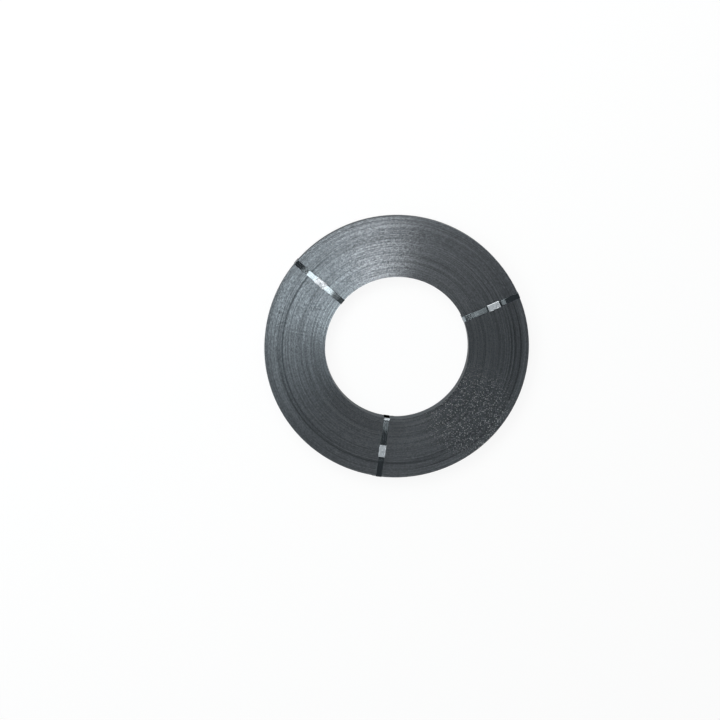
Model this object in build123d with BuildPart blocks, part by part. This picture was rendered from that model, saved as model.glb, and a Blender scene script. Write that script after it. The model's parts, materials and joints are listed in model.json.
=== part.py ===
from build123d import *
from math import cos, pi, radians, sin, sqrt
import os

# Steel strapping in a ribbon-wound coil, lying flat on its three binding ties. Millimetres.
# The coil's axis is Z and passes through the origin, which is at floor level.
# Azimuths are counted from +X towards +Y.

# The strap that is sold: one long ribbon, wound turn on turn
strap_width = 32.0
strap_gauge = 0.8
turn_count = 170
winding_gap = 0.01
bore_radius = 162.5

# No turn lies quite level with its neighbours: this is how far the edges wander up or down
edge_wander = 0.4

# The ties pull the turns down beside the bore and at the rim
shoulder_width = 20.0
shoulder_drop = 0.7

# The three ties: narrower strap, pulled round the coil's section and crimped in a seal on top
tie_width = 12.7
tie_gauge = 0.5
tie_bend = 0.3
tie_clearance = 0.1
tie_azimuths = [23.4, 138.8, 261.9]

# Each tie's seal: how far its middle is from the bore, and the sheet that it is folded from
seal_from_bore = [76.2, 65.5, 76.7]
seal_length = 28.0
seal_gauge = 0.85
seal_fold = 1.2
seal_side_play = 0.45
seal_fit = 0.05
seal_mouth = 4.0

# Two pairs of notches crimp the seal and both layers of the tie together
notch_spacing = 13.0
notch_length = 4.4
notch_bottom = 3.0
notch_depth = 2.45

# The lap: the upper layer's cut end shows beyond the seal, the lower layer's end is under it
lap_gap = 0.1
tail_lengths = [14.5, 23.0, 12.0]
tail_curl = 0.5
stub_length = 2.0
slack_bend = 3.0


def wander(turn):
    """How far one turn strays from its neighbours: slow drifts with quick jumps between turns."""
    slow = 0.45 * sin(0.21 * turn) + 0.2 * sin(0.083 * turn + 2.0)
    quick = 0.2 * sin(2.4 * turn + 1.0) + 0.15 * sin(5.1 * turn)
    return edge_wander * (slow + quick)


def droop(turn):
    """How far one turn is pulled down, straight from nothing to the full drop at the coil's two edges."""
    to_edge = min(turn, turn_count - 1 - turn) * turn_pitch
    return shoulder_drop * max(0, 1 - to_edge / shoulder_width)


def radial_plane(azimuth):
    """Upright plane through the axis: its x runs outwards at this azimuth and its y is up."""
    turn = radians(azimuth)
    return Plane(origin=(0, 0, 0), x_dir=(cos(turn), sin(turn), 0), z_dir=(sin(turn), -cos(turn), 0))


def across_plane(azimuth, distance, height):
    """Upright plane facing outwards at a distance from the axis: its x runs across the tie."""
    turn = radians(azimuth)
    middle = (distance * cos(turn), distance * sin(turn), height)
    return Plane(origin=middle, x_dir=(-sin(turn), cos(turn), 0), z_dir=(cos(turn), sin(turn), 0))


def level_plane(azimuth, distance, height):
    """Level plane: its x runs outwards along the tie and its y across it."""
    turn = radians(azimuth)
    middle = (distance * cos(turn), distance * sin(turn), height)
    return Plane(origin=middle, x_dir=(cos(turn), sin(turn), 0), z_dir=(0, 0, 1))


# Places that follow from the sizes above
turn_pitch = strap_gauge + winding_gap
outer_radius = bore_radius + turn_count * turn_pitch - winding_gap
strays = [wander(turn) for turn in range(turn_count)]
heights = [stray - droop(turn) for turn, stray in enumerate(strays)]
mid_level = tie_gauge + tie_clearance - min(heights) + strap_width / 2
coil_top = mid_level + strap_width / 2 + max(strays)

# Levels of the tie's mid-plane: under the coil, on it, in the upper layer, and lifted by the seal
run_under = tie_gauge / 2
run_top = coil_top + tie_clearance + tie_gauge / 2
run_upper = run_top + tie_gauge + lap_gap
seal_lift = seal_gauge + seal_fit - tie_clearance

# The flat strap bears on the bore wall with its two edges and on the outer turn with its middle
run_bore = sqrt(bore_radius**2 - (tie_width / 2) ** 2) - tie_clearance - tie_gauge / 2
run_outer = outer_radius + tie_clearance + tie_gauge / 2

# The seal's section
seal_width = tie_width + 2 * (seal_side_play + seal_gauge)
seal_height = 2 * seal_gauge + 2 * seal_fit + 2 * tie_gauge + lap_gap

os.makedirs("parts", exist_ok=True)

# Wound coil: each turn is a ring with a flat top and bottom edge at its own height
upper_edge = []
lower_edge = []
for turn, height in enumerate(heights):
    inside = bore_radius + turn * turn_pitch
    outside = outer_radius if turn == turn_count - 1 else inside + turn_pitch
    upper_edge += [(inside, mid_level + strap_width / 2 + height)]
    upper_edge += [(outside, mid_level + strap_width / 2 + height)]
    lower_edge += [(inside, mid_level - strap_width / 2 + height)]
    lower_edge += [(outside, mid_level - strap_width / 2 + height)]

with BuildPart() as strap_coil:
    with BuildSketch(Plane.XZ):
        with BuildLine():
            Polyline(*upper_edge, *reversed(lower_edge), close=True)
        make_face()
    revolve(axis=Axis.Z)

strap_coil.part.label = "strap_coil"
export_step(strap_coil.part, "parts/strap_coil.step")


def notch_cutter(azimuth, distance):
    """Four wedge-shaped notches through the seal and the tie, two at each side."""
    with BuildPart() as notches:
        with BuildSketch(level_plane(azimuth, distance, coil_top)):
            for along in (-notch_spacing / 2, notch_spacing / 2):
                for side in (-1, 1):
                    edge = side * (seal_width / 2 + seal_fit)
                    floor = side * (seal_width / 2 - notch_depth)
                    with BuildLine():
                        Polyline(
                            (along - notch_length / 2, edge),
                            (along + notch_length / 2, edge),
                            (along + notch_bottom / 2, floor),
                            (along - notch_bottom / 2, floor),
                            close=True,
                        )
                    make_face()
        extrude(amount=seal_height + seal_fit)
    return notches.part


ties = zip(tie_azimuths, seal_from_bore, tail_lengths)
for number, (azimuth, from_bore, tail_length) in enumerate(ties, start=1):
    distance = bore_radius + from_bore
    seal_outer_end = distance + seal_length / 2
    seal_inner_end = distance - seal_length / 2
    notches = notch_cutter(azimuth, distance)

    # Binding tie: from the cut tail through the seal, round the coil, and back under the seal.
    # It is pulled tight, so it runs straight from the lifted seal to each shoulder and to its edge.
    with BuildPart() as binding_tie:
        with BuildLine(radial_plane(azimuth)) as route:
            FilletPolyline(
                (seal_outer_end + tail_length, run_upper + seal_lift + tail_curl),
                (seal_outer_end, run_upper + seal_lift),
                (seal_inner_end - 2 * stub_length, run_upper + seal_lift),
                (bore_radius + shoulder_width, run_top),
                (run_bore, run_top - shoulder_drop),
                (run_bore, run_under),
                (run_outer, run_under),
                (run_outer, run_top - shoulder_drop),
                (outer_radius - shoulder_width, run_top),
                (seal_outer_end, run_top + seal_lift),
                (seal_inner_end - stub_length, run_top + seal_lift),
                radius=[slack_bend] * 3 + [tie_bend + tie_gauge / 2] * 4 + [slack_bend] * 2,
            )
        start = route.line @ 0
        across = across_plane(azimuth, 0, 0).x_dir
        with BuildSketch(Plane(origin=start, x_dir=across, z_dir=route.line % 0)):
            Rectangle(tie_width, tie_gauge)
        sweep(path=route.line)
        add(notches, mode=Mode.SUBTRACT)

    binding_tie.part.label = f"binding_tie_{number}"
    export_step(binding_tie.part, f"parts/binding_tie_{number}.step")

    # Seal: one sheet folded round both layers, its two flanges meeting under them
    with BuildPart() as seal:
        with BuildSketch(across_plane(azimuth, seal_inner_end, coil_top)):
            with Locations((0, seal_height / 2)):
                RectangleRounded(seal_width, seal_height, seal_fold)
                Rectangle(
                    seal_width - 2 * seal_gauge,
                    seal_height - 2 * seal_gauge,
                    mode=Mode.SUBTRACT,
                )
            with Locations((0, seal_gauge / 2)):
                Rectangle(seal_mouth, 2 * seal_gauge, mode=Mode.SUBTRACT)
        extrude(amount=seal_length)
        add(notches, mode=Mode.SUBTRACT)

    seal.part.label = f"seal_{number}"
    export_step(seal.part, f"parts/seal_{number}.step")

print(f"outer radius {outer_radius:.2f}, bore wall's middle {mid_level + heights[0]:.3f}")
print(f"strap length {2 * pi * turn_count * (bore_radius + outer_radius) / 2 / 1000:.1f} m")
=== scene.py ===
"""Steel strapping in a ribbon-wound coil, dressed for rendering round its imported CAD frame.

The frame gives the coil's place and size, the azimuth of each tie and the place of each seal.
Blender's unit is the metre, so every real size below is written in millimetres times MM.
The coil's axis is Z, and azimuths are counted from +X towards +Y.
"""

import json
import logging
import math
from collections.abc import Callable
from dataclasses import dataclass
from enum import Enum
from functools import partial
from typing import Any

import bmesh
import bpy
import numpy as np
from bmesh.types import BMesh, BMFace, BMVert
from bpy.types import Material, Mesh, Node, NodeSocket, NodeTree, Object
from mathutils import Matrix, Quaternion, Vector

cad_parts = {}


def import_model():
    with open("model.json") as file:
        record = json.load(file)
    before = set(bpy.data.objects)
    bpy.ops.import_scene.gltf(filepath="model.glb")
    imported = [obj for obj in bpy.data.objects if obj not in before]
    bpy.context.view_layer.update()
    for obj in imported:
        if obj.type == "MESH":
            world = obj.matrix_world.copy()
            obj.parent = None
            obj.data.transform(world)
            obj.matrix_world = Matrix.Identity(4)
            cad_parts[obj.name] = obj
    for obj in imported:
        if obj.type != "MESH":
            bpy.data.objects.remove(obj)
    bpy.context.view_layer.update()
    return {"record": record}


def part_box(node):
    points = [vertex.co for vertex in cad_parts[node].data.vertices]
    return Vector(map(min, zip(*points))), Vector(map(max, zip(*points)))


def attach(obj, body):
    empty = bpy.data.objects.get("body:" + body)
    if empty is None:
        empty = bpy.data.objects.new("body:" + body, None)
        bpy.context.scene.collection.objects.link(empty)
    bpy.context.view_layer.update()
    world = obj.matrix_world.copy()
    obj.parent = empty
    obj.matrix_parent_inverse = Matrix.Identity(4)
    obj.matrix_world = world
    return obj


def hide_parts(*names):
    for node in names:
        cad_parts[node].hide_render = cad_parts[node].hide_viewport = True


AddNode = Callable[..., Node]

LOG = logging.getLogger("strapping_coil")
MM = 0.001
BODY = "root"
PHOTO_SIDE = 720
BAKE_MAP = "OFBake"
TURN_ATTRIBUTE = "turn"
SUNK_ATTRIBUTE = "sunk"
BEND_HIGHLIGHT_ATTRIBUTE = "bend_highlight"
SIDE_ATTRIBUTE = "side_line"
SOCKET_KINDS = {int: "NodeSocketInt", float: "NodeSocketFloat", Material: "NodeSocketMaterial"}


class Slot(Enum):
    """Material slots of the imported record."""

    STRAP = "strap_steel"
    TIE = "tie_lacquer"
    SEAL = "seal_zinc"


@dataclass(frozen=True)
class TieLay:
    """How one tie was left when it was closed, its cut tail, and how much of a painted highlight its bend
    gets.
    """

    tail_length: float
    tail_dip: float
    bend_highlight: float


# Ties 1 and 3, whose bends face the lamps, get a painted highlight on their bend into the bore; tie 2 gets
# none
TIE_LAYS = (
    TieLay(tail_length=14.5 * MM, tail_dip=0.3 * MM, bend_highlight=1.0),
    TieLay(tail_length=23 * MM, tail_dip=-0.1 * MM, bend_highlight=0.0),
    TieLay(tail_length=12 * MM, tail_dip=0.3 * MM, bend_highlight=1.0),
)


def linear(hex_colour: str) -> tuple[float, float, float, float]:
    """Turn an sRGB hex colour into Blender's linear colour.

    Args:
        hex_colour: six hex digits after a hash sign.

    Returns:
        Linear red, green and blue, with an alpha of one.
    """
    channels = [int(hex_colour[i : i + 2], 16) / 255 for i in (1, 3, 5)]
    red, green, blue = [c / 12.92 if c <= 0.04045 else ((c + 0.055) / 1.055) ** 2.4 for c in channels]
    return red, green, blue, 1.0


def add_node(tree: NodeTree, kind: str, *inputs: Any, **settings: Any) -> Node:
    """Add one node with its settings, its values and its links.

    Args:
        tree: the tree that gets the node.
        kind: Blender's name of the node's type.
        inputs: the first inputs in order, or a dictionary of inputs by name or number. Each is a value,
            a socket, or a node whose first output is linked.
        settings: the node's own properties.

    Returns:
        The new node.
    """
    node = tree.nodes.new(kind)
    for name, value in settings.items():
        setattr(node, name, value)
    given = inputs[0] if inputs and isinstance(inputs[0], dict) else dict(enumerate(inputs))
    for key, value in given.items():
        if isinstance(value, Node):
            value = next(output for output in value.outputs if output.enabled)
        if isinstance(value, NodeSocket):
            tree.links.new(value, node.inputs[key])
        else:
            node.inputs[key].default_value = value
    return node


def span(side: str, ends: tuple[Any, Any]) -> dict[str, Any]:
    """Give both ends of a Map Range node's From or To side by the names of its inputs."""
    return {f"{side} Min": ends[0], f"{side} Max": ends[1]}


def new_material(name: str) -> tuple[Material, AddNode]:
    """Make a material with an empty node tree.

    Args:
        name: the finish in a maker's words.

    Returns:
        The material, and the function that adds a node to its tree.
    """
    material = bpy.data.materials.new(name)
    material.use_nodes = True
    material.node_tree.nodes.clear()
    return material, partial(add_node, material.node_tree)


def new_object(name: str, data: bpy.types.ID) -> Object:
    """Put a mesh, a lamp or a camera into the scene as an object at the origin.

    Args:
        name: the object's name.
        data: what the object shows. A mesh is already in its place.

    Returns:
        The linked object.
    """
    made = bpy.data.objects.new(name, data)
    bpy.context.scene.collection.objects.link(made)
    return made


def polar(azimuth: float, distance: float = 1.0, level: float = 0.0) -> Vector:
    """Give the place at an azimuth in degrees, a distance from the axis and a level."""
    turn = math.radians(azimuth)
    return Vector((distance * math.cos(turn), distance * math.sin(turn), level))


def write_mesh(shape: BMesh, mesh: Mesh) -> Mesh:
    """Write a shape into a mesh and free it.

    Args:
        shape: the finished shape.
        mesh: the mesh that it replaces.

    Returns:
        The written mesh.
    """
    shape.to_mesh(mesh)
    shape.free()
    return mesh


def join_loops(shape: BMesh, near: list[BMVert], far: list[BMVert]) -> list[BMFace]:
    """Close the strip between two loops of as many points.

    Args:
        shape: the shape that gets the faces.
        near: the first loop.
        far: the second loop.

    Returns:
        The new faces in the loops' order.
    """
    corners = zip(near, near[1:] + near[:1], far[1:] + far[:1], far)
    return [shape.faces.new(four) for four in corners]


def baked(piece: Object) -> Mesh:
    """Apply a piece's modifiers to its mesh and remove them.

    Args:
        piece: the object whose evaluated mesh is wanted.

    Returns:
        The plain mesh that the piece now has.
    """
    graph = bpy.context.evaluated_depsgraph_get()
    mesh = bpy.data.meshes.new_from_object(
        piece.evaluated_get(graph), preserve_all_data_layers=True, depsgraph=graph
    )
    piece.modifiers.clear()
    piece.data = mesh
    mesh.name = piece.name
    return mesh


def hand_over(piece: Object, slot: Slot, *nodes: str) -> None:
    """Tie a finished piece to the frame.

    Args:
        piece: the finished piece.
        slot: the record's slot of the piece; not used.
        nodes: the CAD nodes that it stands for.
    """
    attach(piece, BODY)
    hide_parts(*nodes)
    LOG.info("%s: %d faces", piece.name, len(piece.data.polygons))


@dataclass(frozen=True)
class SlitSteel:
    """Oiled cold-rolled steel strap, slit from wide strip and deburred.

    Its flat sides are blued and dark. Slitting leaves the two edges barer, each a little rolled over, so a
    coil's face is a grey of thin rings that light up in a fan towards the light. One turn in a few stands
    low, with its colour darkened as painted shade in the recess, or leans its own way, which draws the
    darker and brighter lines. On one part of the upper face, oil beads are painted on as bright glints. The
    real grain of a slit edge is far too fine to show, so it is drawn 3 mm across and about as long as it is
    wide.
    """

    oxide: str = "#64676a"
    rolled: str = "#767a7e"
    burnished: str = "#8e9396"
    blued: str = "#5a6065"
    scoured: str = "#71777b"
    oil_and_shade: str = "#33393c"
    bead_glint: str = "#f4f5f6"
    grazing: str = "#a8a8a8"
    roughness: tuple[float, float] = (0.37, 0.27)
    anisotropy: float = 0.3
    band_width: float = 4.5 * MM
    band_count: float = 0.9
    band_share: float = 0.5
    line_width: float = 2.0 * MM
    line_count: float = 1.4
    turn_scale: float = 1.3
    grain_width: float = 3.0 * MM
    grain_count: float = 56.0
    wall_line: float = 3.0 * MM
    tone_range: tuple[float, float] = (1.5, 2.2)
    polish_range: tuple[float, float] = (0.7, 1.3)
    scour_range: tuple[float, float] = (0.35, 0.7)
    edge_range: tuple[float, float] = (0.1, 0.6)
    lean: tuple[float, float] = (0.12, 0.54)
    grain_share: float = 3.0
    pit_share: float = 1.2
    bore_to_rim: tuple[float, float] = (165 * MM, 295 * MM)
    rim_darkening: float = 0.13
    film_share: float = 0.3
    outer_flatness: float = 0.56
    outer_dullness: float = 0.1
    glint_power: float = 2.6
    bump_depth: float = 0.03 * MM
    sunk_shade_share: float = 0.7
    spot_spacing: float = 3.6 * MM
    spot_radius: float = 1.6 * MM
    spot_core: float = 0.4
    spot_middle: tuple[float, float, float] = (165 * MM, -150 * MM, 0.0)
    spot_reach: float = 135 * MM

    def streaks(self, add: AddNode, ring: Node, height: Node, width: float, count: float) -> Node:
        """Add streaks that run along the strap.

        Args:
            add: adds a node to the material's tree.
            ring: radius, and the cosine and sine of the azimuth.
            height: a number that tells the lines on the strap's flat side apart.
            width: how wide a streak is across the coil's face.
            count: how many streaks follow one another in a radian.

        Returns:
            The noise that draws them.
        """
        scale = (1 / width, count, count)
        place = add("ShaderNodeVectorMath", ring, scale, operation="MULTIPLY")
        values = {"Vector": place, "W": height, "Scale": 1.0, "Detail": 2.0}
        return add("ShaderNodeTexNoise", values, noise_dimensions="4D")

    def spots(self, add: AddNode, flat: Node, facing_up: NodeSocket) -> tuple[Node, Node]:
        """Add oil beads on one part of the upper face, painted as bright glints, most faint and a few
        bright.

        Args:
            add: adds a node to the material's tree.
            flat: the place on the face.
            facing_up: how far the surface faces up.

        Returns:
            How much of a bead shows at a place, and how much of the oil film round the beads.
        """
        away = add("ShaderNodeVectorMath", flat, self.spot_middle, operation="DISTANCE")
        reach = span("From", (self.spot_reach, self.spot_core * self.spot_reach))
        around = add(
            "ShaderNodeMapRange", {"Value": away.outputs["Value"], **reach}, interpolation_type="SMOOTHSTEP"
        )
        above = add("ShaderNodeMapRange", {"Value": facing_up, **span("From", self.edge_range)})
        near = add("ShaderNodeMath", around, above, operation="MULTIPLY")
        cells = add(
            "ShaderNodeTexVoronoi",
            {"Vector": flat, "Scale": 1 / self.spot_spacing},
            voronoi_dimensions="2D",
        ).outputs
        size = self.spot_radius / self.spot_spacing
        inside = span("From", (size, self.spot_core * size))
        glint_disc = add("ShaderNodeMapRange", {"Value": cells["Distance"], **inside})
        own = add("ShaderNodeSeparateColor", cells["Color"])
        glint = add("ShaderNodeMath", own, self.glint_power, operation="POWER")
        shown = add("ShaderNodeMath", glint_disc, glint, operation="MULTIPLY")
        glints = add("ShaderNodeMath", shown, near, operation="MULTIPLY")
        film = add("ShaderNodeMath", near, self.film_share, operation="MULTIPLY")
        return glints, film

    def material(self) -> Material:
        """Build the strap's material.

        Returns:
            The material, which reads Object coordinates and the strap's two attributes.
        """
        material, add = new_material("cold-rolled slit steel strap")
        coordinates = add("ShaderNodeTexCoord").outputs
        parts = add("ShaderNodeSeparateXYZ", coordinates["Object"])
        flat = add("ShaderNodeVectorMath", coordinates["Object"], (1, 1, 0), operation="MULTIPLY")
        outwards = add("ShaderNodeVectorMath", flat, operation="NORMALIZE")
        compass = add("ShaderNodeSeparateXYZ", outwards)
        radius = add("ShaderNodeVectorMath", flat, operation="LENGTH").outputs["Value"]
        ring = add("ShaderNodeCombineXYZ", radius, compass.outputs[0], compass.outputs[1])
        height = add("ShaderNodeMath", parts.outputs[2], 1 / self.wall_line, operation="MULTIPLY")

        # Bands of turns that stand low or high, rolling lines, and the grain of the slit edges
        bands = self.streaks(add, ring, height, self.band_width, self.band_count)
        lines = self.streaks(add, ring, height, self.line_width, self.line_count)
        grain = self.streaks(add, ring, height, self.grain_width, self.grain_count)
        turn = add("ShaderNodeAttribute", attribute_name=TURN_ATTRIBUTE).outputs["Fac"]
        own = add(
            "ShaderNodeTexNoise",
            {"W": turn, "Scale": self.turn_scale, "Detail": 1.0},
            noise_dimensions="1D",
        )

        # Tone: dark oxide to burnished steel on the edges, blued on the flat sides
        fine = add("ShaderNodeMath", lines, own, operation="ADD")
        tone = add("ShaderNodeMath", bands, self.band_share, fine, operation="MULTIPLY_ADD")
        pitted = add("ShaderNodeMath", grain, self.pit_share, tone, operation="MULTIPLY_ADD")
        # The colour darkens from the bore towards the rim; the same span makes the rim rougher and its
        # edges lean less
        towards_rim = {"Value": radius, **span("From", self.bore_to_rim)}
        fading = span("To", (0.5 * self.rim_darkening, -0.5 * self.rim_darkening))
        darker_to_rim = add("ShaderNodeMapRange", {**towards_rim, **fading})
        rim_toned = add("ShaderNodeMath", pitted, darker_to_rim, operation="ADD")
        share = add("ShaderNodeMapRange", {"Value": rim_toned, **span("From", self.tone_range)})
        ramp = add("ShaderNodeValToRGB", share)
        ramp.color_ramp.elements[0].color = linear(self.oxide)
        ramp.color_ramp.elements[1].color = linear(self.burnished)
        ramp.color_ramp.elements.new(0.5).color = linear(self.rolled)
        # Turns that stand low are painted darker, as painted shade in their recess, and near the beads the
        # oil film darkens the colour too
        sunk = add("ShaderNodeAttribute", attribute_name=SUNK_ATTRIBUTE).outputs["Fac"]
        shade = add("ShaderNodeMath", sunk, self.sunk_shade_share, operation="MULTIPLY")
        facing = add("ShaderNodeSeparateXYZ", coordinates["Normal"])
        glints, film = self.spots(add, flat, facing.outputs[2])
        darkest = add("ShaderNodeMath", shade, film, operation="MAXIMUM")
        oiled_and_shaded = add("ShaderNodeMix", {0: darkest, 6: ramp, 7: linear(self.oil_and_shade)}, data_type="RGBA")
        # Painted glints: a near-white colour on the beads
        glinting = add("ShaderNodeMix", {0: glints, 6: oiled_and_shaded, 7: linear(self.bead_glint)}, data_type="RGBA")
        level = add("ShaderNodeMath", facing.outputs[2], operation="ABSOLUTE")
        edge = add("ShaderNodeMapRange", {"Value": level, **span("From", self.edge_range)})
        scour = add("ShaderNodeMapRange", {"Value": lines, **span("From", self.scour_range)})
        side = add(
            "ShaderNodeMix", {0: scour, 6: linear(self.blued), 7: linear(self.scoured)}, data_type="RGBA"
        )
        colour = add("ShaderNodeMix", {0: edge, 6: side, 7: glinting}, data_type="RGBA")
        smoother = {**span("From", self.polish_range), **span("To", self.roughness)}
        polished = add("ShaderNodeMapRange", {"Value": fine, **smoother})
        handled = add("ShaderNodeMapRange", {**towards_rim, **span("To", (0.0, self.outer_dullness))})
        dull = add("ShaderNodeMath", polished, handled, operation="ADD")

        # Each edge is rolled over outwards by its own amount, and highlights are drawn out across the lines
        bump = add("ShaderNodeBump", {"Height": fine, "Strength": 1.0, "Distance": self.bump_depth})
        both = add("ShaderNodeMath", grain, self.grain_share, lines, operation="MULTIPLY_ADD")
        middle = (1 + self.grain_share) / 2
        leaning = {**span("From", (middle - 0.5, middle + 0.5)), **span("To", self.lean)}
        lean = add("ShaderNodeMapRange", {"Value": both, **leaning})
        flatter = add("ShaderNodeMapRange", {**towards_rim, **span("To", (1.0, self.outer_flatness))})
        eased = add("ShaderNodeMath", lean, flatter, operation="MULTIPLY")
        aside = add("ShaderNodeVectorMath", {0: outwards, "Scale": eased}, operation="SCALE")
        leant = add("ShaderNodeVectorMath", bump, aside, operation="ADD")
        normal = add("ShaderNodeVectorMath", leant, operation="NORMALIZE")
        along = add("ShaderNodeVectorMath", outwards, (0, 0, 1), operation="CROSS_PRODUCT")
        across = add("ShaderNodeVectorMath", along, normal, operation="CROSS_PRODUCT")
        shader = add(
            "ShaderNodeBsdfPrincipled",
            {
                "Base Color": colour,
                "Metallic": 1.0,
                "Roughness": dull,
                "Anisotropic": self.anisotropy,
                "Specular Tint": linear(self.grazing),
                "Normal": normal,
                "Tangent": across,
            },
        )
        add("ShaderNodeOutputMaterial", shader)
        return material


@dataclass(frozen=True)
class BluedTie:
    """Blued and waxed narrow steel strap: a dark, smooth metal with a faint ripple and fine scuffs.

    It mirrors what is over it, so one stretch flares white under a lamp where the next stays black. Where a
    tie is bent down into the bore, its surface leans inwards, and on the ties whose bends face the lamps a
    bright matt line is painted on as a highlight.
    """

    blue: str = "#646b6e"
    worn: str = "#828a8e"
    grazing: str = "#303436"
    roughness: tuple[float, float] = (0.08, 0.16)
    ripple_width: float = 9 * MM
    ripple_depth: float = 0.006 * MM
    scuff_width: float = 1.1 * MM
    worn_range: tuple[float, float] = (0.5, 0.72)
    dull_range: tuple[float, float] = (0.4, 0.7)
    top_range: tuple[float, float] = (0.3, 0.7)
    bend_highlight_colour: str = "#b4bbbf"
    bend_highlight_roughness: float = 0.3
    bend_reach: tuple[float, float] = (170 * MM, 165 * MM)
    bend_lean: float = 0.65

    def material(self) -> Material:
        """Build the tie's material.

        Returns:
            The material, which reads Object coordinates and the tie's own share of painted highlight on its
            bend.
        """
        material, add = new_material("blued and waxed steel strap")
        coordinates = add("ShaderNodeTexCoord").outputs
        place = coordinates["Object"]
        ripple = add("ShaderNodeTexNoise", {"Vector": place, "Scale": 1 / self.ripple_width, "Detail": 1.0})
        scuffs = add("ShaderNodeTexNoise", {"Vector": place, "Scale": 1 / self.scuff_width, "Detail": 3.0})
        worn = add("ShaderNodeMapRange", {"Value": scuffs, **span("From", self.worn_range)})
        plain = add(
            "ShaderNodeMix", {0: worn, 6: linear(self.blue), 7: linear(self.worn)}, data_type="RGBA"
        )
        duller = {**span("From", self.dull_range), **span("To", self.roughness)}
        even = add("ShaderNodeMapRange", {"Value": scuffs, **duller})
        bump = add("ShaderNodeBump", {"Height": ripple, "Strength": 1.0, "Distance": self.ripple_depth})

        # The bend into the bore: its surface leans inwards, and a bright, a little matt colour is painted
        # on it as a highlight
        flat = add("ShaderNodeVectorMath", place, (-1, -1, 0), operation="MULTIPLY")
        inwards = add("ShaderNodeVectorMath", flat, operation="NORMALIZE")
        radius = add("ShaderNodeVectorMath", flat, operation="LENGTH").outputs["Value"]
        near = add("ShaderNodeMapRange", {"Value": radius, **span("From", self.bend_reach)})
        facing = add("ShaderNodeSeparateXYZ", coordinates["Normal"])
        above = add("ShaderNodeMapRange", {"Value": facing.outputs[2], **span("From", self.top_range)})
        on_top = add("ShaderNodeMath", near, above, operation="MULTIPLY")
        bend_highlight = add("ShaderNodeAttribute", attribute_name=BEND_HIGHLIGHT_ATTRIBUTE).outputs["Fac"]
        bend = add("ShaderNodeMath", on_top, bend_highlight, operation="MULTIPLY")
        colour = add("ShaderNodeMix", {0: bend, 6: plain, 7: linear(self.bend_highlight_colour)}, data_type="RGBA")
        dull = add("ShaderNodeMix", {0: bend, 2: even, 3: self.bend_highlight_roughness})
        lean = add("ShaderNodeMath", bend, self.bend_lean, operation="MULTIPLY")
        aside = add("ShaderNodeVectorMath", {0: inwards, "Scale": lean}, operation="SCALE")
        leant = add("ShaderNodeVectorMath", bump, aside, operation="ADD")
        normal = add("ShaderNodeVectorMath", leant, operation="NORMALIZE")
        shader = add(
            "ShaderNodeBsdfPrincipled",
            {
                "Base Color": colour,
                "Metallic": 1.0,
                "Roughness": dull,
                "Specular Tint": linear(self.grazing),
                "Normal": normal,
            },
        )
        add("ShaderNodeOutputMaterial", shader)
        return material


@dataclass(frozen=True)
class GalvanisedSheet:
    """Galvanised steel sheet, folded and crimped: zinc crystals a few millimetres across.

    Each crystal mirrors its own way, and the zinc has weathered a little matt, so the seal looks mottled
    in silver and grey from everywhere.
    """

    bright: str = "#dadde0"
    dull: str = "#abb0b4"
    metallic: float = 0.5
    crystal: float = 2.3 * MM
    roughness: tuple[float, float] = (0.11, 0.28)
    tilt: float = 0.08

    def material(self) -> Material:
        """Build the seal's material.

        Returns:
            The material, which reads Object coordinates.
        """
        material, add = new_material("galvanised sheet with spangle")
        place = add("ShaderNodeTexCoord").outputs["Object"]
        cells = add("ShaderNodeTexVoronoi", {"Vector": place, "Scale": 1 / self.crystal})
        own = add("ShaderNodeSeparateColor", cells.outputs["Color"])
        colour = add(
            "ShaderNodeMix",
            {0: own.outputs[0], 6: linear(self.dull), 7: linear(self.bright)},
            data_type="RGBA",
        )
        rough = add("ShaderNodeMapRange", {"Value": own.outputs[1], **span("To", self.roughness)})
        off = add("ShaderNodeVectorMath", cells.outputs["Color"], (0.5, 0.5, 0.5), operation="SUBTRACT")
        aside = add("ShaderNodeVectorMath", {0: off, "Scale": self.tilt}, operation="SCALE")
        plain = add("ShaderNodeNewGeometry").outputs["Normal"]
        tilted = add("ShaderNodeVectorMath", plain, aside, operation="ADD")
        normal = add("ShaderNodeVectorMath", tilted, operation="NORMALIZE")
        shader = add(
            "ShaderNodeBsdfPrincipled",
            {"Base Color": colour, "Metallic": self.metallic, "Roughness": rough, "Normal": normal},
        )
        add("ShaderNodeOutputMaterial", shader)
        return material


@dataclass(frozen=True)
class WhitePaper:
    """Matt white studio paper under the coil: it shows white to the camera and keeps the shadow."""

    paper: str = "#f2f2f0"
    own_light: float = 0.9

    def material(self) -> Material:
        """Build the floor's material.

        Returns:
            The material, part of which glows white for camera, glossy and transmission rays.
        """
        material, add = new_material("white studio paper")
        path = add("ShaderNodeLightPath").outputs
        mirrored = add("ShaderNodeMath", path["Is Camera Ray"], path["Is Glossy Ray"], operation="MAXIMUM")
        seen = add("ShaderNodeMath", mirrored, path["Is Transmission Ray"], operation="MAXIMUM")
        share = add("ShaderNodeMath", seen, self.own_light, operation="MULTIPLY")
        matt = add("ShaderNodeBsdfDiffuse", {"Color": linear(self.paper)})
        white = add("ShaderNodeEmission", {"Color": linear("#ffffff"), "Strength": 1.0})
        shader = add("ShaderNodeMixShader", share, matt, white)
        add("ShaderNodeOutputMaterial", shader)
        return material


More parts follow.
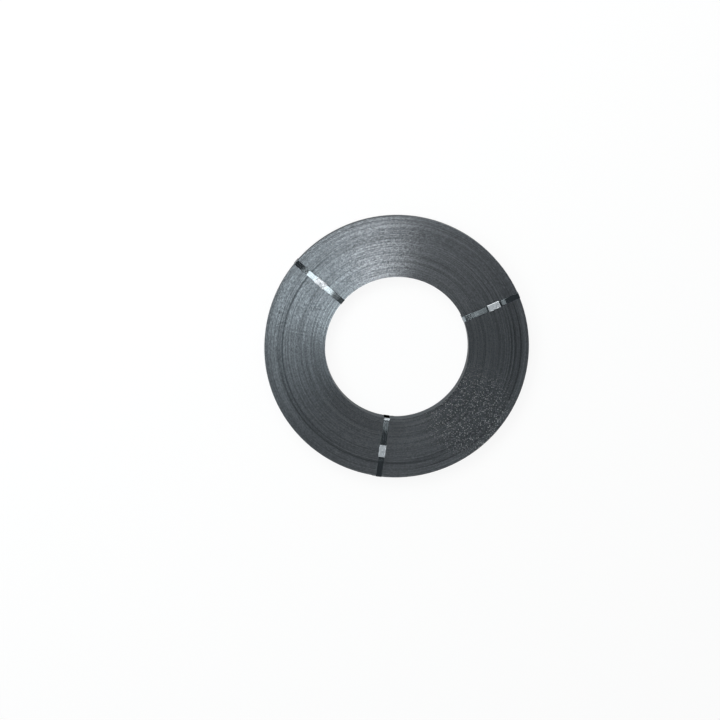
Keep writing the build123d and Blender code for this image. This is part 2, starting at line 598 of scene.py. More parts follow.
@dataclass
class StrapCoil:
    """The strap that is sold: one ribbon wound turn on turn, with every turn's edge on the coil's faces."""

    bore_radius: float
    outer_radius: float
    strap_width: float
    top: float
    strap_gauge: float = 0.8 * MM
    turns: float = 169.025
    segments: int = 120
    edge_wander: float = 0.36 * MM
    shoulder_width: float = 20 * MM
    shoulder_drop: float = 0.7 * MM
    rolled_edge: float = 0.3 * MM
    burred_edge: float = 0.05 * MM
    start_azimuth: float = 268.0
    part_starts: tuple[float, ...] = (0.0, 57.0, 113.0)
    part_names: tuple[str, ...] = ("inner_turns", "middle_turns", "outer_turns")
    sunk_turns: tuple[tuple[float, float], ...] = (
        (147.5, -30), (131.0, -30), (120.5, -26), (119.5, 175), (128.5, 235)
    )
    sunk_width: float = 3.2
    sunk_depth: float = 0.45 * MM
    sunk_facing: tuple[float, float] = (0.3, 0.9)
    seed: float = 7.3
    drift_scale: float = 0.11
    jump_scale: float = 1.2
    jump_rate: float = 0.8
    stray_range: tuple[float, float] = (0.6, 1.4)
    pressed_wander: float = 0.5
    edge_points: int = 2
    side_share: float = 0.49
    length_share: float = 0.9
    band_margin: float = 0.04
    cap_radius: float = 0.3

    @classmethod
    def from_frame(cls, record: dict[str, Any]) -> "StrapCoil":
        """Read the coil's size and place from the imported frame.

        Args:
            record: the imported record, whose bore mount gives the bore.

        Returns:
            The coil at its real size.
        """
        bore = next(mount["dims"] for mount in record["mounts"] if mount["name"] == "bore")
        low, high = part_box("strap_coil")
        return cls(
            bore_radius=bore["r_mm"] * MM,
            outer_radius=(high.x - low.x) / 2,
            strap_width=bore["length_mm"] * MM,
            top=high.z,
        )

    @property
    def pitch(self) -> float:
        """Distance from one turn to the next."""
        return (self.outer_radius - self.bore_radius - self.strap_gauge) / self.turns

    def sunk(self, add: AddNode, turn: Node, angle: Node, width: NodeSocket) -> Node:
        """Add how far a place belongs to the few turns that stand low over a part of their way round.

        Args:
            add: adds a node to the winding's tree.
            turn: the place along the strap, in turns.
            angle: its azimuth.
            width: how many turns on each side sink with a low one.

        Returns:
            A share from 0 to 1.
        """
        found = add("ShaderNodeValue")
        for low_turn, azimuth in self.sunk_turns:
            off = add("ShaderNodeMath", turn, low_turn, operation="SUBTRACT")
            aside = add("ShaderNodeMath", off, operation="ABSOLUTE")
            near = add("ShaderNodeMapRange", {"Value": aside, "From Max": width, **span("To", (1.0, 0.0))})
            swing = add("ShaderNodeMath", angle, math.radians(azimuth), operation="SUBTRACT")
            facing = add("ShaderNodeMath", swing, operation="COSINE")
            reach = {"Value": facing, **span("From", self.sunk_facing)}
            here = add("ShaderNodeMapRange", reach, interpolation_type="SMOOTHSTEP")
            both = add("ShaderNodeMath", near, here, operation="MULTIPLY")
            found = add("ShaderNodeMath", found, both, operation="MAXIMUM")
        return found

    def inputs(self, first: float, last: float, steel: Material) -> dict[str, Any]:
        """Give the winding's inputs for one stretch of the strap.

        Args:
            first: the turn at which the stretch starts.
            last: the turn at which it ends.
            steel: the strap's material.

        Returns:
            Each input's value by its name.
        """
        return {
            "Segments": self.segments,
            "Points": round((last - first) * self.segments) + 1,
            "Seed": self.seed,
            "Strap Steel": steel,
            "First Turn": first,
            "Turns": self.turns,
            "Start Azimuth": math.radians(self.start_azimuth),
            "Inner Radius": self.bore_radius + self.strap_gauge / 2,
            "Pitch": self.pitch,
            "Gauge": self.strap_gauge,
            "Width": self.strap_width,
            "Mid Level": self.top - self.strap_width / 2 - self.edge_wander,
            "Wander": self.edge_wander,
            "Shoulder Width": self.shoulder_width,
            "Shoulder Drop": self.shoulder_drop,
            "Rolled Edge": self.rolled_edge,
            "Burred Edge": self.burred_edge,
            "Sunk Width": self.sunk_width,
            "Sunk Depth": self.sunk_depth,
        }

    def winding_tree(self, inputs: dict[str, Any]) -> tuple[NodeTree, dict[str, str]]:
        """Build the Geometry Nodes tree that winds a stretch of strap.

        Args:
            inputs: the inputs that it needs, each with a value of its kind.

        Returns:
            The tree, and the identifier of each of its inputs by name.
        """
        tree = bpy.data.node_groups.new("winding", "GeometryNodeTree")
        add = partial(add_node, tree)
        sockets = {}
        for name, value in inputs.items():
            kind = SOCKET_KINDS[type(value)]
            sockets[name] = tree.interface.new_socket(name, in_out="INPUT", socket_type=kind).identifier
        tree.interface.new_socket("Geometry", in_out="OUTPUT", socket_type="NodeSocketGeometry")
        given = add("NodeGroupInput").outputs

        # Where each point is along the strap, in turns, and the direction and radius that gives it
        index = add("GeometryNodeInputIndex")
        wound = add("ShaderNodeMath", index, given["Segments"], operation="DIVIDE")
        turn = add("ShaderNodeMath", wound, given["First Turn"], operation="ADD")
        angle = add("ShaderNodeMath", turn, -2 * math.pi, given["Start Azimuth"], operation="MULTIPLY_ADD")
        radius = add(
            "ShaderNodeMath", turn, given["Pitch"], given["Inner Radius"], operation="MULTIPLY_ADD"
        )
        cosine = add("ShaderNodeMath", angle, operation="COSINE")
        sine = add("ShaderNodeMath", angle, operation="SINE")
        x = add("ShaderNodeMath", radius, cosine, operation="MULTIPLY")
        y = add("ShaderNodeMath", radius, sine, operation="MULTIPLY")

        # How hard the ties press a turn down: not at all inside the shoulders, fully at the two rims
        left = add("ShaderNodeMath", given["Turns"], turn, operation="SUBTRACT")
        nearer = add("ShaderNodeMath", turn, left, operation="MINIMUM")
        to_rim = add("ShaderNodeMath", nearer, given["Pitch"], operation="MULTIPLY")
        press = add(
            "ShaderNodeMapRange",
            {"Value": to_rim, "From Max": given["Shoulder Width"], **span("To", (1.0, 0.0))},
        )

        # No turn lies quite level: a slow drift over many turns, and a quick one from turn to turn
        seeded = add("ShaderNodeMath", turn, given["Seed"], operation="ADD")
        drift = add("ShaderNodeTexNoise", {"W": seeded, "Scale": self.drift_scale}, noise_dimensions="1D")
        quick_turn = add("ShaderNodeMath", turn, self.jump_rate, operation="MULTIPLY")
        quick_place = add("ShaderNodeCombineXYZ", cosine, sine, quick_turn)
        jump = add(
            "ShaderNodeTexNoise",
            {"Vector": quick_place, "W": given["Seed"], "Scale": self.jump_scale, "Detail": 1.0},
            noise_dimensions="4D",
        )
        both = add("ShaderNodeMath", drift, jump, operation="ADD")
        spread = add(
            "ShaderNodeMapRange", {"Value": both, "To Min": -1.0, **span("From", self.stray_range)}
        )
        loose = add("ShaderNodeMath", press, -self.pressed_wander, 1.0, operation="MULTIPLY_ADD")
        free = add("ShaderNodeMath", spread, loose, operation="MULTIPLY")
        stray = add("ShaderNodeMath", free, given["Wander"], given["Mid Level"], operation="MULTIPLY_ADD")
        drop = add("ShaderNodeMath", press, given["Shoulder Drop"], operation="MULTIPLY")
        level = add("ShaderNodeMath", stray, drop, operation="SUBTRACT")
        sunk = self.sunk(add, turn, angle, given["Sunk Width"])
        dip = add("ShaderNodeMath", sunk, given["Sunk Depth"], operation="MULTIPLY")
        z = add("ShaderNodeMath", level, dip, operation="SUBTRACT")

        line = add("GeometryNodeCurvePrimitiveLine", {"End": (0, 0, 1)})
        points = add("GeometryNodeResampleCurve", {"Curve": line, "Count": given["Points"]})
        place = add("ShaderNodeCombineXYZ", x, y, z)
        wind = add("GeometryNodeSetPosition", {"Geometry": points, "Position": place})
        upright = add("GeometryNodeSetCurveNormal", {"Curve": wind}, mode="Z_UP")
        path = upright
        for label, value in ((TURN_ATTRIBUTE, turn), (SUNK_ATTRIBUTE, sunk)):
            stored = {"Geometry": path, "Name": label, "Value": value}
            path = add("GeometryNodeStoreNamedAttribute", stored, data_type="FLOAT", domain="POINT")

        # The strap's section: slitting rolls one side's edges over and leaves the other side's sharper
        box = add(
            "GeometryNodeCurvePrimitiveQuadrilateral", {"Width": given["Gauge"], "Height": given["Width"]}
        )
        corner = add("ShaderNodeSeparateXYZ", add("GeometryNodeInputPosition"))
        outer_side = add("ShaderNodeMath", corner.outputs[0], 0.0, operation="LESS_THAN")
        edge = add("ShaderNodeMix", {0: outer_side, 2: given["Burred Edge"], 3: given["Rolled Edge"]})
        rounded = add(
            "GeometryNodeFilletCurve",
            {"Curve": box, "Count": self.edge_points, "Radius": edge},
            mode="POLY",
        )
        aside = add("ShaderNodeMath", corner.outputs[0], operation="ABSOLUTE")
        side_at = add("ShaderNodeMath", given["Gauge"], self.side_share, operation="MULTIPLY")
        on_side = add("ShaderNodeMath", aside, side_at, operation="GREATER_THAN")
        section = add(
            "GeometryNodeStoreNamedAttribute",
            {"Geometry": rounded, "Name": SIDE_ATTRIBUTE, "Value": on_side},
            data_type="BOOLEAN",
            domain="POINT",
        )
        ribbon = add(
            "GeometryNodeCurveToMesh", {"Curve": path, "Profile Curve": section, "Fill Caps": True}
        )

        # The flat sides stay flat up to the edges' roundings
        ends = add("GeometryNodeInputMeshEdgeVertices").outputs
        length = add(
            "ShaderNodeVectorMath", ends["Position 1"], ends["Position 2"], operation="DISTANCE"
        ).outputs["Value"]
        near_width = add("ShaderNodeMath", given["Width"], self.length_share, operation="MULTIPLY")
        lengthwise = add("ShaderNodeMath", length, near_width, operation="LESS_THAN")
        kept = add("GeometryNodeInputNamedAttribute", {"Name": SIDE_ATTRIBUTE}, data_type="BOOLEAN")
        sharp = add("FunctionNodeBooleanMath", kept, lengthwise, operation="AND")
        shaded = add(
            "GeometryNodeSetShadeSmooth",
            {"Geometry": ribbon, "Selection": sharp, "Shade Smooth": False},
            domain="EDGE",
        )
        real = add("GeometryNodeRealizeInstances", {"Geometry": shaded})
        dressed = add("GeometryNodeSetMaterial", {"Geometry": real, "Material": given["Strap Steel"]})
        add("NodeGroupOutput", dressed)
        return tree, sockets

    def wind(self, name: str, winding: tuple[NodeTree, dict[str, str]], inputs: dict[str, Any]) -> Object:
        """Wind one stretch of the strap.

        Args:
            name: the piece's name.
            winding: the winding's tree and the identifiers of its inputs.
            inputs: the stretch's own value for each input.

        Returns:
            The piece as a plain mesh.
        """
        tree, sockets = winding
        piece = new_object(name, bpy.data.meshes.new(name))
        modifier = piece.modifiers.new("winding", "NODES")
        modifier.node_group = tree
        for label, value in inputs.items():
            modifier[sockets[label]] = value
        baked(piece)
        return piece

    def lay_bake_map(self, mesh: Mesh) -> None:
        """Unroll the strap into one band for each turn, with the visible edges drawn wide.

        Args:
            mesh: a wound stretch, whose points come section by section.
        """
        section = len(mesh.vertices) // self.rings(mesh)
        corner_point = np.zeros(len(mesh.loops), np.int64)
        mesh.loops.foreach_get("vertex_index", corner_point)
        starts = np.zeros(len(mesh.polygons), np.int64)
        totals = np.zeros(len(mesh.polygons), np.int64)
        mesh.polygons.foreach_get("loop_start", starts)
        mesh.polygons.foreach_get("loop_total", totals)
        face = np.repeat(np.arange(len(starts)), totals)
        ring, step = corner_point // section, corner_point % section
        first_ring = np.minimum.reduceat(ring, starts)[face]
        low, high = np.minimum.reduceat(step, starts)[face], np.maximum.reduceat(step, starts)[face]
        step = np.where((high - low > 1) & (step == 0), section, step)
        band = first_ring // self.segments
        bands = band.max() + 2
        u = (ring - band * self.segments) / self.segments
        v = (band + self.band_margin + (1 - 2 * self.band_margin) * step / section) / bands

        # The two cut ends lie side by side in the last band, each as a small round
        cap = (totals > 4)[face]
        swing = 2 * math.pi * step / section
        u = np.where(cap, (0.5 + (ring > 0) + self.cap_radius * np.cos(swing)) / bands, u)
        v = np.where(cap, 1 - (0.5 + self.cap_radius * np.sin(swing)) / bands, v)
        layer = mesh.uv_layers.new(name=BAKE_MAP)
        layer.data.foreach_set("uv", np.column_stack((u, v)).astype(np.float32).ravel())

    def rings(self, mesh: Mesh) -> int:
        """Count the sections of a wound stretch by its turn numbers.

        Args:
            mesh: a wound stretch.

        Returns:
            How many sections its points form.
        """
        turns = np.zeros(len(mesh.vertices), np.float32)
        mesh.attributes[TURN_ATTRIBUTE].data.foreach_get("value", turns)
        return len(np.unique(turns))

    def build(self, steel: Material) -> list[Object]:
        """Wind the whole strap in a few pieces, each small enough for its STL file.

        Args:
            steel: the strap's material.

        Returns:
            The pieces from the bore to the rim.
        """
        winding = self.winding_tree(self.inputs(0.0, self.turns, steel))
        pieces = []
        ends = (*self.part_starts[1:], self.turns)
        for name, first, last in zip(self.part_names, self.part_starts, ends):
            piece = self.wind(name, winding, self.inputs(first, last, steel))
            self.lay_bake_map(piece.data)
            hand_over(piece, Slot.STRAP, "strap_coil")
            pieces.append(piece)
        return pieces


@dataclass
class CrimpedSeal:
    """One folded sheet round both layers of a tie, crimped by two pairs of notches."""

    azimuth: float
    distance: float
    base: float
    length: float = 28 * MM
    width: float = 15.3 * MM
    height: float = 2.9 * MM
    gauge: float = 0.85 * MM
    fold: float = 1.2 * MM
    inner_fold: float = 0.35 * MM
    mouth: float = 4.0 * MM
    notch_spacing: float = 13.0 * MM
    notch_length: float = 4.4 * MM
    notch_bottom: float = 3.0 * MM
    notch_depth: float = 2.45 * MM
    fold_steps: int = 6
    overcut: float = 0.5 * MM
    rounding: float = 0.12 * MM
    rounding_angle: float = 40.0
    ear_lift: float = 52.0
    ear_root: float = 0.2 * MM
    ear_thickness: float = 0.8
    ear_foot: float = 0.55
    ear_level: float = 0.9

    def place(self) -> Matrix:
        """Give the transform from the seal's own axes: X along the tie outwards, Y across it, Z up."""
        middle = polar(self.azimuth, self.distance, self.base)
        return Matrix.Translation(middle) @ Matrix.Rotation(math.radians(self.azimuth), 4, "Z")

    def section(self) -> list[tuple[tuple[float, float], tuple[float, float]]]:
        """Give the folded sheet's section from one lip of the mouth round to the other.

        Returns:
            Pairs of an outer and an inner point, across and up.
        """
        outer_x, outer_z = self.width / 2, self.height
        inner_x = outer_x - self.gauge
        corners = (
            (outer_x, 0.0, -90.0),
            (outer_x, outer_z, 0.0),
            (-outer_x, outer_z, 90.0),
            (-outer_x, 0.0, 180.0),
        )
        pairs = [((self.mouth / 2, 0.0), (self.mouth / 2, self.gauge))]
        for x, z, start in corners:
            side = 1 if x > 0 else -1
            rise = -1 if z > 0 else 1
            centre = (x - side * self.fold, z + rise * self.fold)
            inner_z = self.gauge if z == 0.0 else self.height - self.gauge
            inner_centre = (side * (inner_x - self.inner_fold), inner_z + rise * self.inner_fold)
            for step in range(self.fold_steps + 1):
                angle = math.radians(start + 90.0 * step / self.fold_steps)
                ways = math.cos(angle), math.sin(angle)
                outer = tuple(at + self.fold * way for at, way in zip(centre, ways))
                inner = tuple(at + self.inner_fold * way for at, way in zip(inner_centre, ways))
                pairs.append((outer, inner))
        pairs.append(((-self.mouth / 2, 0.0), (-self.mouth / 2, self.gauge)))
        return pairs

    def sheet(self) -> BMesh:
        """Make the folded sheet before it is crimped.

        Returns:
            A closed shell along X, with its base at Z 0.
        """
        shell = bmesh.new()
        pairs = self.section()
        ends = (-self.length / 2, self.length / 2)
        rows = [[[shell.verts.new((x, *point)) for point in pair] for pair in pairs] for x in ends]
        near, far = rows
        for i in range(len(pairs) - 1):
            shell.faces.new((near[i][0], near[i + 1][0], far[i + 1][0], far[i][0]))
            shell.faces.new((near[i + 1][1], near[i][1], far[i][1], far[i + 1][1]))
            for row in rows:
                shell.faces.new((row[i][0], row[i + 1][0], row[i + 1][1], row[i][1]))
        for i in (0, len(pairs) - 1):
            shell.faces.new((near[i][0], far[i][0], far[i][1], near[i][1]))
        bmesh.ops.recalc_face_normals(shell, faces=shell.faces)
        return shell

    @property
    def notch_places(self) -> list[tuple[float, int]]:
        """Where the four notches are: how far along the tie, and the side that each is cut from."""
        return [(end * self.notch_spacing / 2, side) for end in (-1, 1) for side in (-1, 1)]

    def notch(self, along: float, side: int) -> list[tuple[float, float]]:
        """Give one notch's outline, seen from above.

        Args:
            along: the notch's middle along the tie.
            side: 1 or -1, the edge that it is cut from.

        Returns:
            Four points, along and across.
        """
        edge = side * (self.width / 2 + self.overcut)
        floor = side * (self.width / 2 - self.notch_depth)
        return [
            (along - self.notch_length / 2, edge),
            (along + self.notch_length / 2, edge),
            (along + self.notch_bottom / 2, floor),
            (along - self.notch_bottom / 2, floor),
        ]

    def cutters(self) -> BMesh:
        """Make the four wedges that the crimping tool cuts out."""
        wedges = bmesh.new()
        for along, side in self.notch_places:
            outline = self.notch(along, side)
            levels = (-self.overcut, self.height + self.overcut)
            low, high = [[wedges.verts.new((x, y, level)) for x, y in outline] for level in levels]
            wedges.faces.new(low)
            wedges.faces.new(high)
            join_loops(wedges, low, high)
        bmesh.ops.recalc_face_normals(wedges, faces=wedges.faces)
        return wedges

    def add_ears(self, shell: BMesh) -> None:
        """Add the tabs that the crimp cut free and turned up, still joined at the notches' floors.

        Args:
            shell: the crimped sheet's mesh, in the seal's own axes.
        """
        hinge = self.width / 2 - self.notch_depth - self.ear_root
        reach = self.notch_depth
        half_thick = self.height * self.ear_thickness / 2
        lift = math.radians(self.ear_lift)
        middle = reach - half_thick
        profile = [(middle, -2 * half_thick)]
        for step in range(1, 2 * self.fold_steps):
            angle = -math.pi / 2 + math.pi * step / (2 * self.fold_steps)
            profile.append((middle + half_thick * math.cos(angle), half_thick * (math.sin(angle) - 1)))
        profile += [(middle, 0.0), (0.0, 0.0)]
        turned = [tuple(Matrix.Rotation(lift, 2) @ Vector(point)) for point in profile]
        turned.append((0.0, -self.height * self.ear_foot))
        for along, side in self.notch_places:
            rows = []
            for end in (-1, 1):
                row = []
                for x, z in turned:
                    share = min(1.0, math.hypot(x, z) / reach)
                    half = (self.notch_bottom + (self.notch_length - self.notch_bottom) * share) / 2
                    level = self.height * self.ear_level + z
                    row.append(shell.verts.new((along + end * half, side * (hinge + x), level)))
                rows.append(row)
            made = [shell.faces.new(row) for row in rows] + join_loops(shell, *rows)
            bmesh.ops.recalc_face_normals(shell, faces=made)

    def build(self, name: str, sheet_metal: Material, node: str) -> Object:
        """Fold, crimp and place the seal.

        Args:
            name: the piece's name.
            sheet_metal: the seal's material.
            node: the CAD node that it stands for.

        Returns:
            The finished piece.
        """
        piece = new_object(name, write_mesh(self.sheet(), bpy.data.meshes.new(name)))
        cutter = new_object("notches", write_mesh(self.cutters(), bpy.data.meshes.new("notches")))
        cut = piece.modifiers.new("crimp", "BOOLEAN")
        cut.operation = "DIFFERENCE"
        cut.solver = "EXACT"
        cut.object = cutter
        rounding = piece.modifiers.new("rounding", "BEVEL")
        rounding.width = self.rounding
        rounding.segments = 2
        rounding.angle_limit = math.radians(self.rounding_angle)
        mesh = baked(piece)
        bpy.data.objects.remove(cutter)
        shell = bmesh.new()
        shell.from_mesh(mesh)
        self.add_ears(shell)
        shell.transform(self.place())
        write_mesh(shell, mesh)
        mesh.materials.clear()
        mesh.materials.append(sheet_metal)
        hand_over(piece, Slot.SEAL, node)
        return piece


@dataclass
class BindingTie:
    """Narrow blued strap, pulled round the coil's section and held by its seal."""

    azimuth: float
    seal: CrimpedSeal
    coil: StrapCoil
    lay: TieLay
    dip_length: float = 4.0 * MM
    dip_bend: float = 15 * MM
    width: float = 12.7 * MM
    gauge: float = 0.5 * MM
    clearance: float = 0.1 * MM
    tight_bend: float = 0.55 * MM
    slack_bend: float = 60 * MM
    long_bend: float = 600 * MM
    arch: float = 0.5 * MM
    sag: float = 0.15 * MM
    lap_gap: float = 0.1 * MM
    seal_fit: float = 0.05 * MM
    tail_slope: float = 0.035
    stub_length: float = 2.0 * MM
    edge_radius: float = 0.14 * MM
    edge_steps: int = 3
    bend_step: float = 12.0
    bend_lead: float = 0.4 * MM
    least_steps: int = 4

    def corners(self) -> list[tuple[float, float, float]]:
        """Give the route's corners in the tie's upright plane.

        Returns:
            Distance from the axis, level and bend radius of each corner, from the cut tail to the stub.
        """
        coil, seal, lay = self.coil, self.seal, self.lay
        run_top = coil.top + self.clearance + self.gauge / 2
        run_upper = run_top + self.gauge + self.lap_gap
        lift = seal.gauge + self.seal_fit - self.clearance
        run_bore = math.sqrt(coil.bore_radius**2 - (self.width / 2) ** 2) - self.clearance - self.gauge / 2
        run_outer = coil.outer_radius + self.clearance + self.gauge / 2
        outer_end, inner_end = seal.distance + seal.length / 2, seal.distance - seal.length / 2
        low, press = self.gauge / 2, coil.shoulder_drop
        slack, tight = self.slack_bend, self.tight_bend
        lead_in = inner_end - 2 * self.stub_length
        inner_middle = ((run_bore + lead_in) / 2, (run_top - press + run_upper + lift) / 2 + self.arch)
        outer_flat = coil.outer_radius - coil.shoulder_width
        outer_middle = ((outer_end + outer_flat) / 2, run_top + lift / 2 - self.sag)
        tail_rise = self.tail_slope * (lay.tail_length - self.dip_length)
        return [
            (outer_end + lay.tail_length, run_upper + lift + tail_rise - lay.tail_dip, 0.0),
            (outer_end + self.dip_length, run_upper + lift - lay.tail_dip, self.dip_bend),
            (outer_end, run_upper + lift, self.dip_bend),
            (lead_in, run_upper + lift, slack),
            (*inner_middle, self.long_bend),
            (run_bore, run_top - press, tight),
            (run_bore, low, tight),
            (run_outer, low, tight),
            (run_outer, run_top - press, tight),
            (outer_flat, run_top, slack),
            (*outer_middle, self.long_bend / 2),
            (outer_end, run_top + lift, slack),
            (inner_end - self.stub_length, run_top + lift, 0.0),
        ]

    def route(self) -> list[Vector]:
        """Round the corners off into one line of points, each bend with a point close before and after it.

        Returns:
            Points in the tie's upright plane, from the cut tail to the stub.
        """
        corners = self.corners()
        points = [Vector(corners[0][:2])]
        for before, here, after in zip(corners, corners[1:], corners[2:]):
            corner = Vector(here[:2])
            back = (Vector(before[:2]) - corner).normalized()
            ahead = (Vector(after[:2]) - corner).normalized()
            turn = math.pi - back.angle(ahead)
            reach = here[2] * math.tan(turn / 2)
            middle = corner + (back + ahead).normalized() * (here[2] / math.cos(turn / 2))
            start = corner + back * reach - middle
            hand = 1 if start.cross(corner + ahead * reach - middle) > 0 else -1
            steps = max(self.least_steps, round(math.degrees(turn) / self.bend_step))
            lead = min(self.bend_lead, reach)
            points.append(corner + back * (reach + lead))
            for step in range(steps + 1):
                swing = hand * turn * step / steps
                points.append(middle + Matrix.Rotation(swing, 2) @ start)
            points.append(corner + ahead * (reach + lead))
        points.append(Vector(corners[-1][:2]))
        return points

    def half_width(self, point: Vector) -> float:
        """Give half the strap's width where the seal's notches may have cut into it.

        Args:
            point: distance from the axis and level.

        Returns:
            Half the width in metres.
        """
        seal, half = self.seal, self.width / 2
        if point.y < self.coil.top:
            return half
        off = min(abs(abs(point.x - seal.distance) - seal.notch_spacing / 2), seal.notch_length)
        floor = seal.width / 2 - seal.notch_depth
        slope = seal.notch_depth / ((seal.notch_length - seal.notch_bottom) / 2)
        return min(half, floor + max(0.0, off - seal.notch_bottom / 2) * slope)

    def with_notches(self, points: list[Vector]) -> list[Vector]:
        """Add the points at which the notches begin, deepen and end.

        Args:
            points: the route.

        Returns:
            The route with those points on both layers in the seal.
        """
        seal = self.seal
        slope = (seal.notch_length - seal.notch_bottom) / 2 / seal.notch_depth
        shallow = seal.notch_bottom / 2 + (self.width / 2 - seal.width / 2 + seal.notch_depth) * slope
        offs = (-shallow, -seal.notch_bottom / 2, seal.notch_bottom / 2, shallow)
        stops = [seal.distance + end * seal.notch_spacing / 2 + off for end in (-1, 1) for off in offs]
        found = []
        for here, after in zip(points, points[1:]):
            found.append(here)
            if min(here.y, after.y) > self.coil.top:
                low, high = sorted((here.x, after.x))
                inside = sorted((x for x in stops if low < x < high), reverse=after.x < here.x)
                found += [here.lerp(after, (x - here.x) / (after.x - here.x)) for x in inside]
        found.append(points[-1])
        return found

    def section(self, half: float) -> list[tuple[float, float]]:
        """Give the strap's section with rounded edges, and points that keep its faces flat.

        Args:
            half: half its width.

        Returns:
            Points across the strap and along its normal.
        """
        thick, radius = self.gauge / 2, self.edge_radius
        points = []
        for side, rise, start in ((1, 1, 0), (-1, 1, 90), (-1, -1, 180), (1, -1, 270)):
            x, z = side * (half - radius), rise * (thick - radius)
            swings = [
                math.radians(start + 90 * step / (self.edge_steps - 1)) for step in range(self.edge_steps)
            ]
            arc = [(x + radius * math.cos(swing), z + radius * math.sin(swing)) for swing in swings]
            support = (side * (half - 3 * radius), rise * thick)
            points += arc + [support] if side == rise else [support] + arc
        return points

    def build(self, name: str, blued: Material, node: str) -> Object:
        """Sweep the strap's section along its route.

        Args:
            name: the piece's name.
            blued: the tie's material.
            node: the CAD node that it stands for.

        Returns:
            The finished piece.
        """
        route = self.with_notches(self.route())
        outwards = polar(self.azimuth)
        across = Vector((-outwards.y, outwards.x, 0))
        shell = bmesh.new()
        rows = []
        ways = [(b - a).normalized() for a, b in zip(route, route[1:])]
        for i, point in enumerate(route):
            before, after = ways[max(0, i - 1)], ways[min(i, len(ways) - 1)]
            way = (before + after).normalized()
            normal = Vector((-way.y, way.x)) / way.dot(before)
            row = []
            for side, rise in self.section(self.half_width(point)):
                flat = point + normal * rise
                row.append(shell.verts.new(outwards * flat.x + across * side + Vector((0, 0, flat.y))))
            rows.append(row)
        for near, far in zip(rows, rows[1:]):
            for face in join_loops(shell, near, far):
                face.smooth = True
        for row in (rows[0], rows[-1]):
            for edge in shell.faces.new(row).edges:
                edge.smooth = False
        bmesh.ops.recalc_face_normals(shell, faces=shell.faces)
        mesh = write_mesh(shell, bpy.data.meshes.new(name))
        mesh.materials.append(blued)
        highlight_shares = mesh.attributes.new(BEND_HIGHLIGHT_ATTRIBUTE, "FLOAT", "POINT")
        highlight_shares.data.foreach_set("value", [self.lay.bend_highlight] * len(mesh.vertices))
        piece = new_object(name, mesh)
        hand_over(piece, Slot.TIE, node)
        return piece


@dataclass(frozen=True)
class SoftLamp:
    """An oval soft lamp that faces the coil.

    Azimuth and rise are in degrees, from the middle of the coil. Turn is about the lamp's own axis.
    """

    name: str
    azimuth: float
    size: tuple[float, float]
    watts: float
    tint: str = "#ffffff"
    rise: float = 46.0
    reach: float = 3.2
    turn: float = 0.0

    def hang(self, target: Vector) -> None:
        """Hang the lamp.

        Args:
            target: the middle of the coil.
        """
        data = bpy.data.lights.new(self.name, "AREA")
        data.shape = "ELLIPSE"
        data.color = linear(self.tint)[:3]
        data.size, data.size_y = self.size
        data.energy = self.watts
        rise = math.radians(self.rise)
        way = polar(self.azimuth, math.cos(rise), math.sin(rise))
        lamp = new_object(self.name, data)
        lamp.rotation_mode = "QUATERNION"
        lamp.location = target + way * self.reach
        own_turn = Quaternion((0, 0, 1), math.radians(self.turn))
        lamp.rotation_quaternion = way.to_track_quat("Z", "Y") @ own_turn


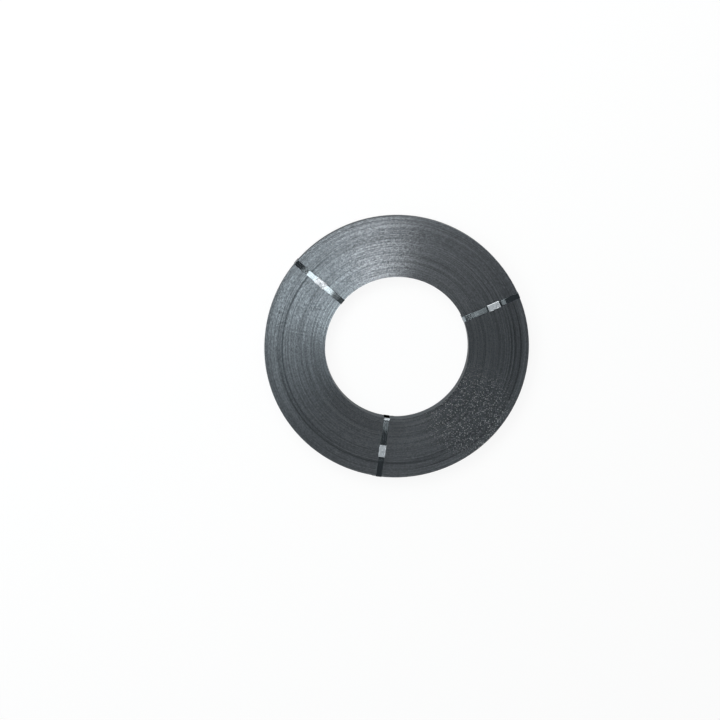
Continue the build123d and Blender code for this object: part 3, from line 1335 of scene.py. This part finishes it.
@dataclass
class Studio:
    """White paper floor, pale walls, a dim ceiling, soft lamps and the photo's camera.

    The lamps round the ceiling light the coil's fans. The last two hang over it for the ties to mirror.
    """

    target: Vector
    distance: float = 4.0
    tilt: float = 10.02
    yaw: float = -3.14
    focal_pixels: float = 1762.9
    sensor: float = 36.0
    centre_pixel: tuple[float, float] = (396.72, 347.29)
    floor_size: float = 40.0
    ceiling: str = "#696c6f"
    horizon: str = "#ffffff"
    wall_top: tuple[float, float] = (0.05, 0.6)
    lamps: tuple[SoftLamp, ...] = (
        SoftLamp("key lamp", 102, (1.8, 1.8), 47.0),
        SoftLamp("second key lamp", 147, (3.0, 1.8), 62.0, "#e8f2f5"),
        SoftLamp("left fill", 193, (2.6, 1.8), 16.0, "#e6f1f5"),
        SoftLamp("right fill", 42, (2.6, 1.8), 6.0),
        SoftLamp("lower fill", 262, (2.6, 1.8), 2.5),
        SoftLamp("mirror lamp", 263.796, (0.46, 0.26), 2.5, rise=83.322, reach=3.9791, turn=-42.0),
        SoftLamp("panel", 301.3, (0.38, 0.12), 0.24, rise=79.515, reach=4.0192, turn=17.0),
    )

    def camera_place(self) -> Vector:
        """Give the camera's place, which is nearly over the coil."""
        tilt, yaw = math.radians(self.tilt), math.radians(self.yaw)
        way = Vector((math.sin(yaw), math.sin(tilt) * math.cos(yaw), math.cos(tilt) * math.cos(yaw)))
        return self.target + way * self.distance

    def add_camera(self) -> None:
        """Make the camera at the photo's viewing angle and set it as the scene's."""
        data = bpy.data.cameras.new("camera")
        data.sensor_width = self.sensor
        data.lens = self.sensor * self.focal_pixels / PHOTO_SIDE
        data.shift_x = (PHOTO_SIDE / 2 - self.centre_pixel[0]) / PHOTO_SIDE
        data.shift_y = (self.centre_pixel[1] - PHOTO_SIDE / 2) / PHOTO_SIDE
        camera = new_object("camera", data)
        place = self.camera_place()
        back = (place - self.target).normalized()
        right = Vector((0, 1, 0)).cross(back).normalized()
        up = back.cross(right)
        turned = Matrix((right, up, back)).transposed().to_4x4()
        camera.matrix_world = Matrix.Translation(place) @ turned
        bpy.context.scene.camera = camera

    def add_floor(self, paper: Material) -> None:
        """Lay the paper under the coil.

        Args:
            paper: the floor's material.
        """
        half = self.floor_size / 2
        mesh = bpy.data.meshes.new("floor")
        corners = [(-half, -half, 0), (half, -half, 0), (half, half, 0), (-half, half, 0)]
        mesh.from_pydata(corners, [], [(0, 1, 2, 3)])
        mesh.materials.append(paper)
        new_object("floor", mesh)

    def add_world(self) -> None:
        """Surround the studio with pale walls under a dim ceiling."""
        world = bpy.data.worlds.new("studio walls")
        world.use_nodes = True
        world.node_tree.nodes.clear()
        add = partial(add_node, world.node_tree)
        way = add("ShaderNodeTexCoord").outputs["Generated"]
        parts = add("ShaderNodeSeparateXYZ", way)
        share = add("ShaderNodeMapRange", {"Value": parts.outputs[2], **span("From", self.wall_top)})
        colour = add(
            "ShaderNodeMix", {0: share, 6: linear(self.horizon), 7: linear(self.ceiling)}, data_type="RGBA"
        )
        light = add("ShaderNodeBackground", {"Color": colour, "Strength": 1.0})
        add("ShaderNodeOutputWorld", light)
        bpy.context.scene.world = world

    def build(self) -> None:
        """Set up the floor, the world, the lamps, the camera and the view."""
        self.add_camera()
        self.add_floor(WhitePaper().material())
        self.add_world()
        for lamp in self.lamps:
            lamp.hang(self.target)
        bpy.context.scene.view_settings.view_transform = "Standard"


def azimuth_and_distance(node: str) -> tuple[float, float]:
    """Find where a CAD node's middle is round the coil.

    Args:
        node: the node's name.

    Returns:
        Its azimuth in degrees and its distance from the axis.
    """
    low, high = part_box(node)
    middle = (low + high) / 2
    return math.degrees(math.atan2(middle.y, middle.x)), math.hypot(middle.x, middle.y)


def main() -> None:
    """Build the coil round its frame, light it and keep its sizes."""
    logging.basicConfig(level=logging.INFO, format="%(name)s: %(message)s")
    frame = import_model()
    coil = StrapCoil.from_frame(frame["record"])
    coil.build(SlitSteel().material())
    blued, zinc = BluedTie().material(), GalvanisedSheet().material()
    for number, lay in enumerate(TIE_LAYS, start=1):
        azimuth, distance = azimuth_and_distance(f"seal_{number}")
        seal = CrimpedSeal(azimuth=azimuth, distance=distance, base=coil.top)
        seal.build(f"crimped_seal_{number}", zinc, f"seal_{number}")
        tie = BindingTie(azimuth, seal, coil, lay)
        tie.build(f"blued_tie_{number}", blued, f"binding_tie_{number}")
    Studio(target=Vector((0, 0, coil.top - coil.strap_width / 2))).build()


if __name__ == "__main__":
    main()
